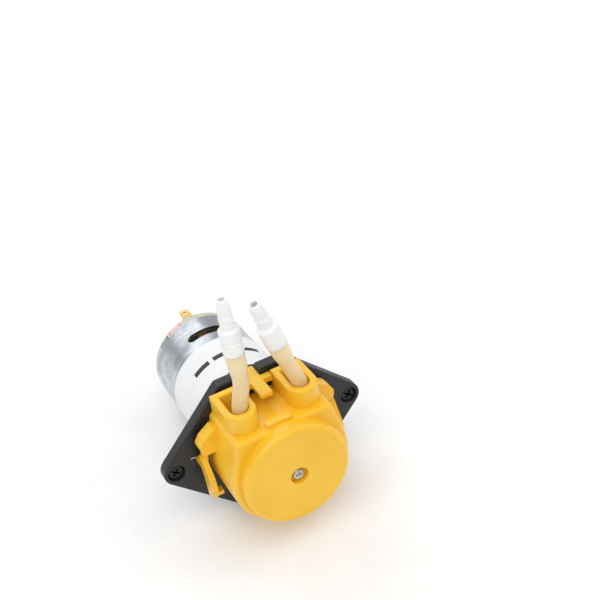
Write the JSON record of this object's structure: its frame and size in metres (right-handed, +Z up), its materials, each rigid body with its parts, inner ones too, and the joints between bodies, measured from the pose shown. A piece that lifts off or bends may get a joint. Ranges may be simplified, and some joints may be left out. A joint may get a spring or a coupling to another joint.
{
  "type": "peristaltic pump",
  "caption": "Small motor-driven peristaltic pump: clip-on yellow roller head with twin hose ports on a black lozenge mounting plate.",
  "frame": {"origin": "on the drive axis, where it meets the mounting plate's rear face", "axes": "+Y along the drive axis towards the motor, +X along the plate's long side, +Z up towards the hose ports"},
  "size_m": [0.0564, 0.0693, 0.0708],
  "materials": {
    "black_nylon": "moulded, fine grain",
    "black_screw_steel": "black oxide",
    "nickel_steel": "nickel plated",
    "zinc_steel": "bright zinc plated",
    "label_paper": "white paper label",
    "bell_nylon": "translucent natural nylon",
    "sintered_bronze": "sintered, oiled",
    "ferrite": "matt ferrite",
    "brass": "stamped brass",
    "carbon": "pressed carbon",
    "shaft_steel": "ground steel",
    "laminated_steel": "stacked laminations",
    "enamelled_copper": "enamelled wire",
    "hub_resin": "phenolic resin",
    "commutator_copper": "turned copper",
    "yellow_plastic": "satin moulded",
    "silicone_hose": "translucent silicone",
    "milky_plastic": "milky polypropylene",
    "carrier_acetal": "natural acetal",
    "roller_nylon": "turned nylon"
  },
  "bodies": {
    "motor_base": {"mounting_plate": "black_nylon", "mounting_screws": "black_screw_steel", "motor_screws": "nickel_steel", "motor_can": "zinc_steel", "motor_label": "label_paper", "end_bell": "bell_nylon", "front_bush": "sintered_bronze", "rear_bush": "sintered_bronze", "field_magnets": "ferrite", "terminals": "brass", "brush_arms": "brass", "carbon_brushes": "carbon"},
    "rotor": {"motor_shaft": "shaft_steel", "armature_core": "laminated_steel", "armature_windings": "enamelled_copper", "commutator_hub": "hub_resin", "commutator_segments": "commutator_copper", "thrust_washers": "hub_resin", "drive_sleeve": "brass"},
    "pump_head": {"pump_casing": "yellow_plastic", "rear_cover": "yellow_plastic", "centre_screw": "nickel_steel", "pump_tube": "silicone_hose", "inlet_connector": "milky_plastic", "outlet_connector": "milky_plastic"},
    "carrier": {"carrier_front": "carrier_acetal", "carrier_rear": "carrier_acetal", "roller_pins": "shaft_steel"},
    "roller_one": {"roller_1": "roller_nylon"},
    "roller_two": {"roller_2": "roller_nylon"},
    "roller_three": {"roller_3": "roller_nylon"},
    "left_lever": {"left_release_lever": "yellow_plastic"},
    "right_lever": {"right_release_lever": "yellow_plastic"},
    "top_latch": {"top_release_latch": "yellow_plastic"}
  },
  "joints": [
    {"name": "motor_spin", "type": "hinge", "parent": "motor_base", "child": "rotor", "pos_m": [0, 0, 0], "axis": [0, 1, 0], "continuous": true},
    {"name": "head_slide", "type": "slide", "parent": "motor_base", "child": "pump_head", "axis": [0, -1, 0], "range_m": [0, 0.03]},
    {"name": "carrier_spin", "type": "hinge", "parent": "pump_head", "child": "carrier", "pos_m": [0, 0, 0], "axis": [0, 1, 0], "continuous": true},
    {"name": "roller_one_spin", "type": "hinge", "parent": "carrier", "child": "roller_one", "pos_m": [0, 0, 0.00665], "axis": [0, 1, 0], "continuous": true},
    {"name": "roller_two_spin", "type": "hinge", "parent": "carrier", "child": "roller_two", "pos_m": [-0.00576, 0, -0.00332], "axis": [0, 1, 0], "continuous": true},
    {"name": "roller_three_spin", "type": "hinge", "parent": "carrier", "child": "roller_three", "pos_m": [0.00576, 0, -0.00332], "axis": [0, 1, 0], "continuous": true},
    {"name": "left_lever_press", "type": "hinge", "parent": "pump_head", "child": "left_lever", "pos_m": [-0.01775, -0.0063, 0.005], "axis": [0, 0, 1], "range_deg": [0, 8], "stiffness_Nm_per_rad": 0.02},
    {"name": "right_lever_press", "type": "hinge", "parent": "pump_head", "child": "right_lever", "pos_m": [0.01775, -0.0063, 0.005], "axis": [0, 0, -1], "range_deg": [0, 8], "stiffness_Nm_per_rad": 0.02},
    {"name": "top_latch_press", "type": "hinge", "parent": "pump_head", "child": "top_latch", "pos_m": [0, -0.00445, 0.0175], "axis": [1, 0, 0], "range_deg": [0, 8], "stiffness_Nm_per_rad": 0.02}
  ],
  "couplings": [
    {"joint": "carrier_spin", "follows": "motor_spin", "ratio": 0.12406},
    {"joint": "roller_one_spin", "follows": "motor_spin", "ratio": -0.28906},
    {"joint": "roller_two_spin", "follows": "motor_spin", "ratio": -0.28906},
    {"joint": "roller_three_spin", "follows": "motor_spin", "ratio": -0.28906}
  ]
}
